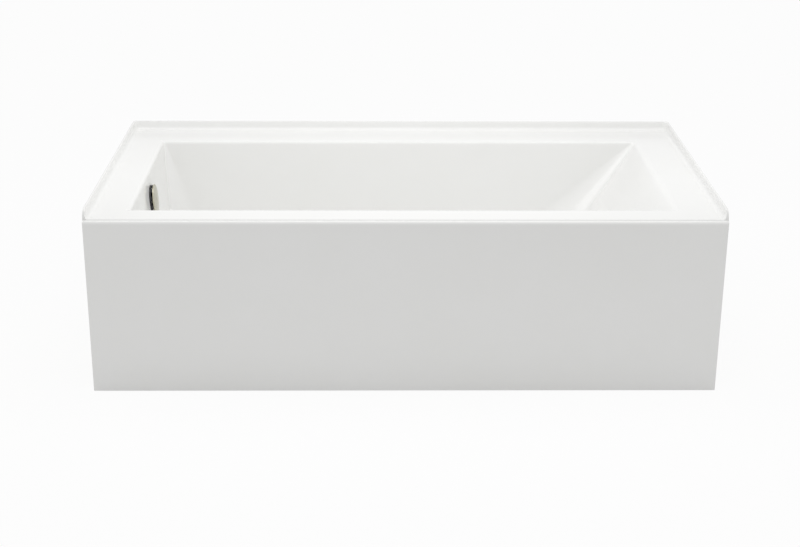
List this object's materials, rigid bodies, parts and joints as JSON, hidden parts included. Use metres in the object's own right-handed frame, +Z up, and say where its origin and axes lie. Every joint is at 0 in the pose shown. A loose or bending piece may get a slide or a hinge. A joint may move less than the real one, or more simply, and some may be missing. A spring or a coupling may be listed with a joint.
{
  "type": "alcove bathtub",
  "caption": "Alcove bath with flat apron, tile flange on three sides, sloped backrest, and a waste worked from the round overflow handle.",
  "frame": {"origin": "middle of the footprint, on the floor", "axes": "+X from the drain end to the backrest end, +Y from the apron to the back wall, +Z up"},
  "size_m": [1.524, 0.813, 0.4624],
  "materials": {
    "acrylic": "polished white acrylic",
    "laminate": "glass fibre laminate, rough on the back",
    "board": "raw particle board",
    "batten": "planed softwood",
    "foot": "moulded, fine matte grain",
    "steel": "bright stainless steel",
    "nickel": "polished warm nickel plate",
    "rubber": "moulded black rubber",
    "pipe": "smooth black moulded plastic",
    "nut": "moulded off-white plastic",
    "washer": "smooth soft plastic",
    "brass": "machined",
    "intake": "moulded black plastic",
    "sheath": "smooth black sheath"
  },
  "bodies": {
    "bath": {"bath_shell": "acrylic", "glass_fibre_backing": "laminate", "base_board": "board", "support_feet": "foot", "foot_screws": "steel", "front_rim_batten": "batten", "apron_uprights": "batten", "apron_foot_rail": "batten", "drain_flange": "nickel", "drain_flange_seal": "rubber", "drain_gasket": "rubber", "drain_shoe": "pipe", "lever_pin": "steel", "shoe_pipe": "pipe", "waste_tee": "pipe", "overflow_riser": "pipe", "tee_top_nut": "nut", "tee_top_washer": "washer", "overflow_outlet_nut": "nut", "overflow_outlet_washer": "washer", "tee_branch_nut": "nut", "tee_branch_washer": "washer", "overflow_body": "pipe", "overflow_gasket": "rubber", "overflow_clamp_ring": "steel", "clamp_ring_screws": "steel", "intake_ring": "intake", "cable_sheath": "sheath", "cable_glands": "brass"},
    "handle": {"overflow_handle": "nickel", "handle_grub_screw": "steel", "overflow_spindle": "brass", "spindle_clip": "steel"},
    "lever": {"lift_lever": "brass"},
    "stopper": {"stopper_cap": "nickel", "stopper_seal": "rubber", "stopper_stem": "brass", "stem_lock_nut": "brass"}
  },
  "joints": [
    {"name": "handle_turn", "type": "hinge", "parent": "bath", "child": "handle", "pos_m": [-0.6557, -0.0155, 0.365], "axis": [-0.9962, 0, -0.0872], "range_deg": [0, 90]},
    {"name": "lever_swing", "type": "hinge", "parent": "bath", "child": "lever", "pos_m": [-0.535, -0.0295, 0.0372], "axis": [1, 0, 0], "range_deg": [0, 41.85]},
    {"name": "stopper_lift", "type": "slide", "parent": "bath", "child": "stopper", "axis": [0, 0, 1], "range_m": [0, 0.01]}
  ],
  "couplings": [
    {"joint": "lever_swing", "follows": "handle_turn", "ratio": 0.465},
    {"joint": "stopper_lift", "follows": "handle_turn", "m_per_rad": 0.0063662}
  ]
}
